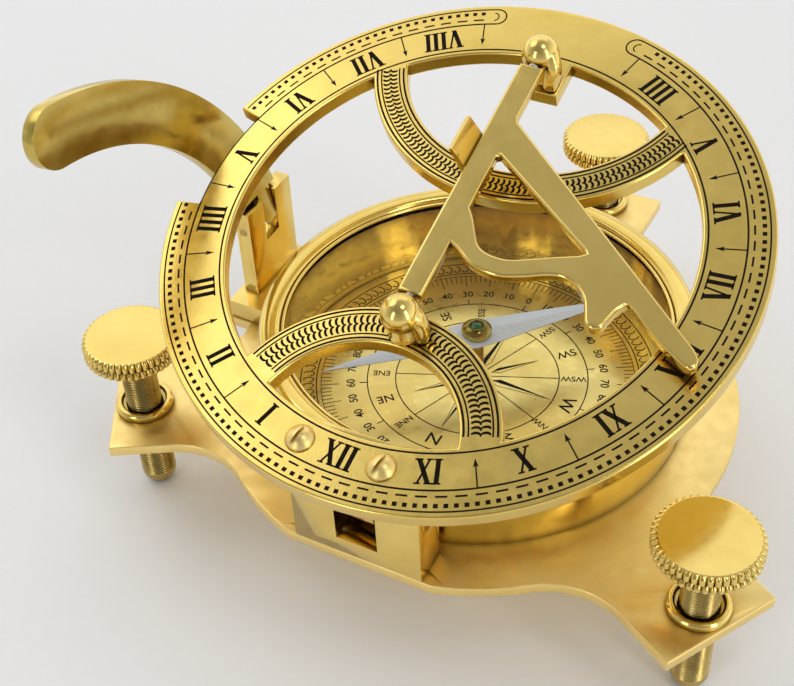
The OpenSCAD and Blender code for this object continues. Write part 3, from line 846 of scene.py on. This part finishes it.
def card_lettering():
    points = "N NNW NW WNW W WSW SW SSW S SSE SE ESE E ENE NE NNE".split()
    parts = []
    for k, text in enumerate(points):
        angle = k * 22.5
        size = {1: 4.2, 2: 2.9, 3: 2.1}[len(text)]
        turn = 0 if len(text) == 1 else (90 if angle > 180 else -90)
        parts.append(letters(text, size, on_card(angle, (ROSE_IN + ROSE_OUT) / 2, turn), "rose"))
    for degree in range(0, 360, 10):
        shown = str(min(degree % 180, 180 - degree % 180)) if degree % 90 else str(degree % 180)
        parts.append(letters(shown, 2.5, on_card(-degree, DEGREE_ROW, 0), "degrees"))
    return joined(*parts)


def compass_rose(inlay):
    for r in (ROSE_IN, ROSE_OUT, CARD_BORDER[0], CARD_BORDER[1]):
        inlay.ribbon(clock_arc(r, 0, 358, 2.0), 0.24, closed=True)
    for k in range(16):
        place = at_hour(k * 22.5, 0)
        reach = ROSE_IN * (0.97 if k % 4 == 0 else 0.8)
        if k % 2 == 0:
            wide = 1.0 if k % 4 == 0 else 0.75
            inlay.placed_polygon([(0, -3.2), (wide, -5.0), (0, -reach)], place)
            inlay.ribbon([place(0, -3.2), place(-wide, -5.0), place(0, -reach)], 0.12)
        else:
            inlay.ribbon([place(0, -3.0), place(0, -ROSE_IN)], 0.2)
    for degree in range(0, 360, 2):
        start = TICKS[0] + (0 if degree % 10 == 0 else 1.6)
        inlay.ribbon([clock(degree, start), clock(degree, TICKS[1])], 0.17)
    inlay.ribbon(clock_arc(TICKS[1], 0, 358, 2.0), 0.14, closed=True)
    for degree in range(0, 360, 30):
        inlay.ribbon([clock(degree, ROSE_OUT), clock(degree, ROSE_OUT + 1.6)], 0.22)
    middle = sum(CARD_BORDER) / 2
    for k in range(120):
        place = at_hour(k * 3, middle)
        curl = [math.radians(20 + 40 * i) for i in range(7)]
        inlay.ribbon([place(0.75 * math.cos(t), 1.15 * math.sin(t)) for t in curl], 0.26)


def card_engraving():
    face = box_mm("compass_card")[1].z
    inlay = Inlay()
    compass_rose(inlay)
    inlay.piece("card_engraving", "base", lifted(face))
    verts, faces = card_lettering()
    add_piece("card_lettering", verts, faces, "base", "black_fill", lifted(face), smooth=20, even=False)


# ---------------------------------------------------------------- pieces kept from the CAD

CARRIED = {
    "base_plate": ("plate_brass", 0.3),
    "screw_collars": ("brass", 0.12),
    "case_body": ("case_brass", 0.15),
    "case_screws": ("dark_brass", 0.15),
    "bezel_ring": ("case_brass", 0.12),
    "compass_glass": ("glass", 0),
    "glass_retaining_ring": ("brass", 0),
    "compass_card": ("card_brass", 0.1),
    "pivot_post": ("dark_brass", 0.05),
    "needle_cap": ("brass", 0.12),
    "needle_jewel": ("jewel", 0),
    "hinge_block": ("brass", 0.3),
    "hinge_block_screws": ("dark_brass", 0.15),
    "hinge_pin": ("dark_brass", 0.15),
    "arm_bracket": ("brass", 0.35),
    "arm_bracket_screws": ("dark_brass", 0.12),
    "arm_pin": ("dark_brass", 0.12),
    "latitude_arm": ("arm_brass", 0.6),
    "ring_hinge_leaf": ("brass", 0.2),
    "ring_screws": ("plate_brass", 0.08),
    "gnomon_pivots": ("steel_pin", 0.05),
}


def smooth_by_angle(limit):
    """Modifier nodes that shade a mesh smooth, except at edges that turn by more than limit degrees."""
    tree = bpy.data.node_groups.new("smooth_by_angle", "GeometryNodeTree")
    for way in ("INPUT", "OUTPUT"):
        tree.interface.new_socket("Geometry", in_out=way, socket_type="NodeSocketGeometry")
    soft = node(tree, "ShaderNodeMath", {1: math.radians(limit)}, operation="LESS_THAN")
    edges = node(tree, "GeometryNodeSetShadeSmooth", domain="EDGE")
    faces = node(tree, "GeometryNodeSetShadeSmooth", domain="FACE")
    tree.links.new(node(tree, "GeometryNodeInputMeshEdgeAngle").outputs["Unsigned Angle"], soft.inputs[0])
    tree.links.new(soft.outputs[0], edges.inputs["Shade Smooth"])
    tree.links.new(node(tree, "NodeGroupInput").outputs[0], edges.inputs[0])
    tree.links.new(edges.outputs[0], faces.inputs[0])
    tree.links.new(faces.outputs[0], node(tree, "NodeGroupOutput").inputs[0])
    return tree


def dress_cad_nodes():
    """Gives each CAD node that stays its material, and by modifiers alone its shading and broken edges."""
    smooth = smooth_by_angle(CRISP_EDGE)
    for name, (slot, edge) in CARRIED.items():
        obj = frame["nodes"][name]
        obj.material_slots[0].material = MATERIALS[slot]
        obj.modifiers.new("smooth_by_angle", "NODES").node_group = smooth
        obj.modifiers.new("weld", "WELD").merge_threshold = 0.002 * MM
        if edge:
            bevel = obj.modifiers.new("broken_edges", "BEVEL")
            bevel.width, bevel.segments = edge * MM, 3
            bevel.limit_method, bevel.angle_limit = "ANGLE", math.radians(CRISP_EDGE)
            bevel.harden_normals = True
        else:
            even_normals(obj)


# ---------------------------------------------------------------- studio

def softbox(name, way, distance, width, height, radiance):
    """Area light that shines at the dial from a direction, with a given brightness of its face."""
    light = bpy.data.lights.new(name, "AREA")
    light.shape, light.size, light.size_y = "RECTANGLE", width, height
    light.energy = radiance * math.pi * width * height
    obj = bpy.data.objects.new(name, light)
    away = Vector(way).normalized()
    obj.location = away * distance + Vector((0, 0, 0.04))
    obj.rotation_euler = away.to_track_quat("Z", "Y").to_euler()
    bpy.context.scene.collection.objects.link(obj)


def studio():
    mesh = bpy.data.meshes.new("studio_floor")
    half = 3.0
    corners = [(-half, -half, 0), (half, -half, 0), (half, half, 0), (-half, half, 0)]
    mesh.from_pydata(corners, [], [(0, 1, 2, 3)])
    floor = bpy.data.objects.new("studio_floor", mesh)
    bpy.context.scene.collection.objects.link(floor)
    material, tree, shader, place = start_material("studio_paper")
    tree.links.new(blended(tree, noise(tree, place, 400, 4), (0.9, 0.9, 0.9), (0.93, 0.93, 0.93)),
                   shader.inputs["Base Color"])
    shader.inputs["Roughness"].default_value = 0.95
    shader.inputs["Specular IOR Level"].default_value = 0.1
    mesh.materials.append(material)

    world = bpy.data.worlds.new("studio_walls")
    bpy.context.scene.world = world
    world.use_nodes = True
    tree = world.node_tree
    way = node(tree, "ShaderNodeTexCoord").outputs["Generated"]
    height = node(tree, "ShaderNodeSeparateXYZ")  # darker overhead and to the south
    tree.links.new(way, height.inputs[0])
    grey = node(tree, "ShaderNodeMath", operation="MULTIPLY")
    tree.links.new(mapped(tree, height.outputs["Z"], 1.45, 0.5, 0.0, 0.9), grey.inputs[0])
    tree.links.new(mapped(tree, height.outputs["Y"], 0.4, 1.0, -0.75, 0.25), grey.inputs[1])
    colour = node(tree, "ShaderNodeCombineXYZ")
    for socket in colour.inputs:
        tree.links.new(grey.outputs[0], socket)
    tree.links.new(colour.outputs[0], tree.nodes["Background"].inputs["Color"])

    softbox("key_back", (-0.32, 0.6, 0.73), 1.1, 1.2, 0.6, 0.5)
    softbox("left_high", (-0.62, 0.02, 0.8), 1.1, 0.6, 0.6, 1.2)
    softbox("strip_right", (0.9, -0.35, 0.42), 1.1, 0.2, 0.9, 4.0)
    softbox("strip_front", (-0.25, -0.95, 0.35), 1.1, 0.25, 0.7, 2.6)
    softbox("top_small", (0.35, -0.1, 1.0), 1.2, 0.35, 0.35, 3.0)


def camera():
    """Looks down at the dial from its front right."""
    data = bpy.data.cameras.new("camera")
    data.lens, data.sensor_width = CAMERA_LENS, CAMERA_FILM
    data.clip_start, data.clip_end = 0.01, 20
    obj = bpy.data.objects.new("camera", data)
    right, up = Vector(CAMERA_RIGHT), Vector(CAMERA_UP)
    back = right.cross(up)
    turn = Matrix((right, up, back)).transposed()
    obj.matrix_world = Matrix.Translation(CAMERA_AT) @ turn.to_4x4()
    bpy.context.scene.collection.objects.link(obj)
    bpy.context.scene.camera = obj
    bpy.context.scene.view_settings.view_transform = "Standard"


dress_cad_nodes()
hour_ring()
ring_engraving()
lugs()
gnomon()
levelling_screws()
needle()
card_engraving()
studio()
camera()
